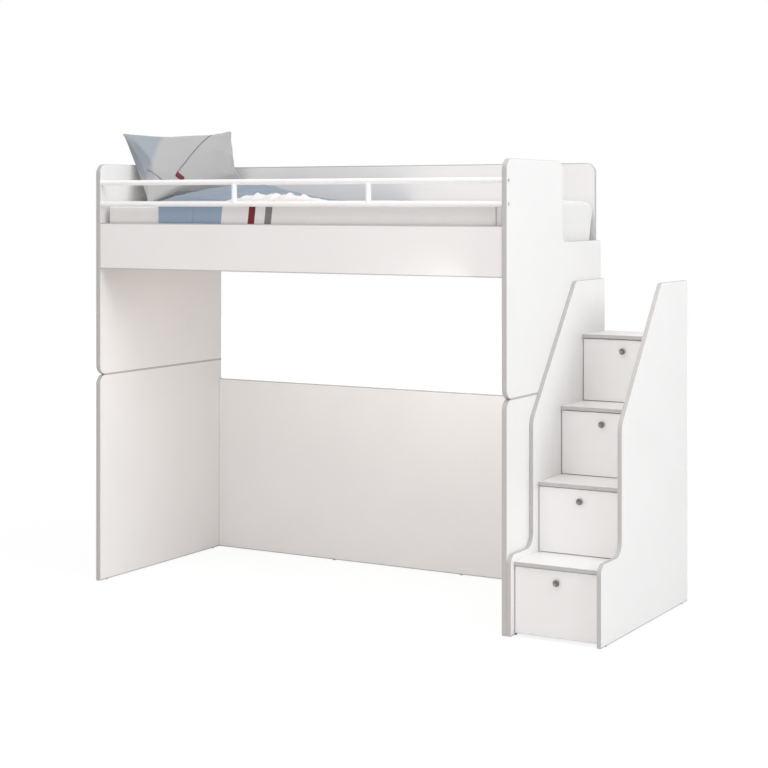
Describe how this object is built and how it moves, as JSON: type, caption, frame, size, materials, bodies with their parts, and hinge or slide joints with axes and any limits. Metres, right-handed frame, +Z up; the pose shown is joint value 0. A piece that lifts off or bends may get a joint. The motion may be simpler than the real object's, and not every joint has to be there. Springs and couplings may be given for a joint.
{
  "type": "loft bed",
  "caption": "Raised single bed in white panels with a tube guard rail, an entry cut-out, open space beneath, and an end staircase whose steps hold pull-out drawers.",
  "frame": {"origin": "middle of the bounding box's base, on the floor", "axes": "+Z up; X along the bed, with the staircase at +X and the pillow at -X; the open front and the drawer fronts face -Y, and the back panels stand at +Y"},
  "size_m": [2.4796, 0.956, 2.0739],
  "materials": {
    "white_laminate": "satin white melamine with grey edge band",
    "drawer_board": "satin white melamine",
    "slat_timber": "planed softwood",
    "dowel_timber": "raw beech",
    "white_enamel": "satin powder coat",
    "zinc_steel": "zinc plated",
    "dark_nickel": "satin dark nickel",
    "glide_plastic": "moulded",
    "mattress_fabric": "woven cotton ticking",
    "cover_fabric": "woven cotton with woven stripes",
    "pillow_fabric": "woven cotton colour blocks"
  },
  "bodies": {
    "bed": {"bed_cover": "cover_fabric", "bed_slats": "slat_timber", "cam_bolts": "zinc_steel", "cam_locks": "zinc_steel", "fixed_drawer_runners": "zinc_steel", "floor_glides": "glide_plastic", "front_side_rail": "white_laminate", "front_slat_ledge": "slat_timber", "guard_bottom_rail": "white_enamel", "guard_end_plugs": "glide_plastic", "guard_posts": "white_enamel", "guard_rail_bolts": "zinc_steel", "guard_top_rail": "white_enamel", "left_lower_end_panel": "white_laminate", "left_upper_end_panel": "white_laminate", "lower_back_panel": "white_laminate", "mattress": "mattress_fabric", "panel_dowels": "dowel_timber", "pillow": "pillow_fabric", "rear_slat_ledge": "slat_timber", "right_lower_end_panel": "white_laminate", "right_upper_end_panel": "white_laminate", "stair_back_panel": "white_laminate", "stair_joining_bolts": "zinc_steel", "stair_left_side": "white_laminate", "stair_right_side": "white_laminate", "stair_tread_1": "white_laminate", "stair_tread_2": "white_laminate", "stair_tread_3": "white_laminate", "stair_tread_4": "white_laminate", "tread_dowels": "dowel_timber", "upper_back_panel": "white_laminate"},
    "drawer_1": {"drawer_1_back": "drawer_board", "drawer_1_bottom": "drawer_board", "drawer_1_front": "white_laminate", "drawer_1_knob": "dark_nickel", "drawer_1_left_side": "drawer_board", "drawer_1_right_side": "drawer_board", "drawer_1_runners": "zinc_steel"},
    "drawer_2": {"drawer_2_back": "drawer_board", "drawer_2_bottom": "drawer_board", "drawer_2_front": "white_laminate", "drawer_2_knob": "dark_nickel", "drawer_2_left_side": "drawer_board", "drawer_2_right_side": "drawer_board", "drawer_2_runners": "zinc_steel"},
    "drawer_3": {"drawer_3_back": "drawer_board", "drawer_3_bottom": "drawer_board", "drawer_3_front": "white_laminate", "drawer_3_knob": "dark_nickel", "drawer_3_left_side": "drawer_board", "drawer_3_right_side": "drawer_board", "drawer_3_runners": "zinc_steel"},
    "drawer_4": {"drawer_4_back": "drawer_board", "drawer_4_bottom": "drawer_board", "drawer_4_front": "white_laminate", "drawer_4_knob": "dark_nickel", "drawer_4_left_side": "drawer_board", "drawer_4_right_side": "drawer_board", "drawer_4_runners": "zinc_steel"}
  },
  "joints": [
    {"name": "drawer_1_slide", "type": "slide", "parent": "bed", "child": "drawer_1", "axis": [0, -1, 0], "range_m": [0, 0.375]},
    {"name": "drawer_2_slide", "type": "slide", "parent": "bed", "child": "drawer_2", "axis": [0, -1, 0], "range_m": [0, 0.375]},
    {"name": "drawer_3_slide", "type": "slide", "parent": "bed", "child": "drawer_3", "axis": [0, -1, 0], "range_m": [0, 0.315]},
    {"name": "drawer_4_slide", "type": "slide", "parent": "bed", "child": "drawer_4", "axis": [0, -1, 0], "range_m": [0, 0.145]}
  ]
}
